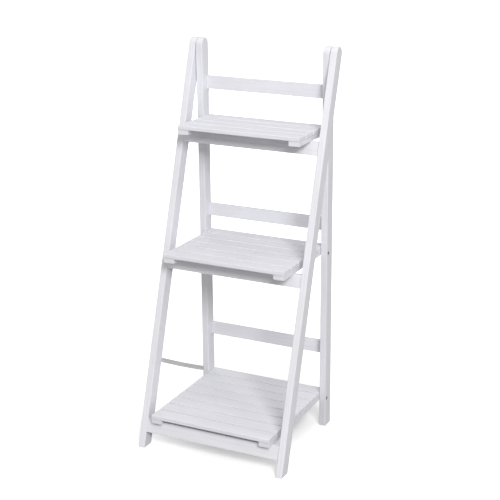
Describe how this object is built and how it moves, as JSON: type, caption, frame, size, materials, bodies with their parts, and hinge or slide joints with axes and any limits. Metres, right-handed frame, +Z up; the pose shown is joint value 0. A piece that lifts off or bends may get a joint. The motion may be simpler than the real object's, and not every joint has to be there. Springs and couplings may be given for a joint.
{
  "type": "ladder shelf",
  "caption": "Folding A-frame ladder stand with slatted shelves that deepen towards the floor, hinged on the rear legs and resting on the front rails.",
  "frame": {"origin": "on the floor, at the centre of the footprint of the open ladder", "axes": "+Z up; the front, with the leaning front legs, faces -Y; +X is to the right of someone facing the front"},
  "size_m": [0.43, 0.388, 1.08],
  "materials": {
    "white_wood": "satin white paint on planed wood",
    "white_webbing": "woven webbing",
    "beech_dowel": "bare wood",
    "dark_steel": "dark blackened steel",
    "zinc_steel": "zinc plated"
  },
  "bodies": {
    "rear_frame": {"back_rail_bottom": "white_wood", "back_rail_dowels": "beech_dowel", "back_rail_middle": "white_wood", "back_rail_top": "white_wood", "bottom_shelf_bolts": "dark_steel", "bottom_shelf_nuts": "zinc_steel", "bottom_shelf_washers": "zinc_steel", "limit_strap": "white_webbing", "middle_shelf_bolts": "dark_steel", "middle_shelf_nuts": "zinc_steel", "middle_shelf_washers": "zinc_steel", "pivot_washers": "zinc_steel", "rear_post_left": "white_wood", "rear_post_right": "white_wood", "strap_screw_rear": "zinc_steel", "top_shelf_bolts": "dark_steel", "top_shelf_nuts": "zinc_steel", "top_shelf_washers": "zinc_steel"},
    "front_frame": {"front_post_left": "white_wood", "front_post_right": "white_wood", "front_rail_bottom": "white_wood", "front_rail_dowels": "beech_dowel", "front_rail_middle": "white_wood", "front_rail_top": "white_wood", "pivot_pins": "zinc_steel", "strap_screw_front": "zinc_steel"},
    "top_shelf": {"top_shelf_cleat_left": "white_wood", "top_shelf_cleat_right": "white_wood", "top_shelf_screws": "zinc_steel", "top_shelf_slat_1": "white_wood", "top_shelf_slat_2": "white_wood", "top_shelf_slat_3": "white_wood", "top_shelf_slat_4": "white_wood"},
    "middle_shelf": {"middle_shelf_cleat_left": "white_wood", "middle_shelf_cleat_right": "white_wood", "middle_shelf_screws": "zinc_steel", "middle_shelf_slat_1": "white_wood", "middle_shelf_slat_2": "white_wood", "middle_shelf_slat_3": "white_wood", "middle_shelf_slat_4": "white_wood", "middle_shelf_slat_5": "white_wood", "middle_shelf_slat_6": "white_wood"},
    "bottom_shelf": {"bottom_shelf_cleat_left": "white_wood", "bottom_shelf_cleat_right": "white_wood", "bottom_shelf_screws": "zinc_steel", "bottom_shelf_slat_1": "white_wood", "bottom_shelf_slat_2": "white_wood", "bottom_shelf_slat_3": "white_wood", "bottom_shelf_slat_4": "white_wood", "bottom_shelf_slat_5": "white_wood", "bottom_shelf_slat_6": "white_wood", "bottom_shelf_slat_7": "white_wood", "bottom_shelf_slat_8": "white_wood"}
  },
  "joints": [
    {"name": "frame_fold", "type": "hinge", "parent": "rear_frame", "child": "front_frame", "pos_m": [0, 0.13607, 1.061], "axis": [1, 0, 0], "range_deg": [0, 15.2], "deforming": ["limit_strap"]},
    {"name": "top_shelf_lift", "type": "hinge", "parent": "rear_frame", "child": "top_shelf", "pos_m": [0, 0.13482, 0.8495], "axis": [-1, 0, 0], "range_deg": [0, 84]},
    {"name": "middle_shelf_lift", "type": "hinge", "parent": "rear_frame", "child": "middle_shelf", "pos_m": [0, 0.14699, 0.5175], "axis": [-1, 0, 0], "range_deg": [0, 84]},
    {"name": "bottom_shelf_lift", "type": "hinge", "parent": "rear_frame", "child": "bottom_shelf", "pos_m": [0, 0.1629, 0.0835], "axis": [-1, 0, 0], "range_deg": [0, 84]}
  ],
  "couplings": [
    {"joint": "top_shelf_lift", "follows": "frame_fold", "ratio": 5.526},
    {"joint": "middle_shelf_lift", "follows": "frame_fold", "ratio": 5.526},
    {"joint": "bottom_shelf_lift", "follows": "frame_fold", "ratio": 5.526}
  ]
}
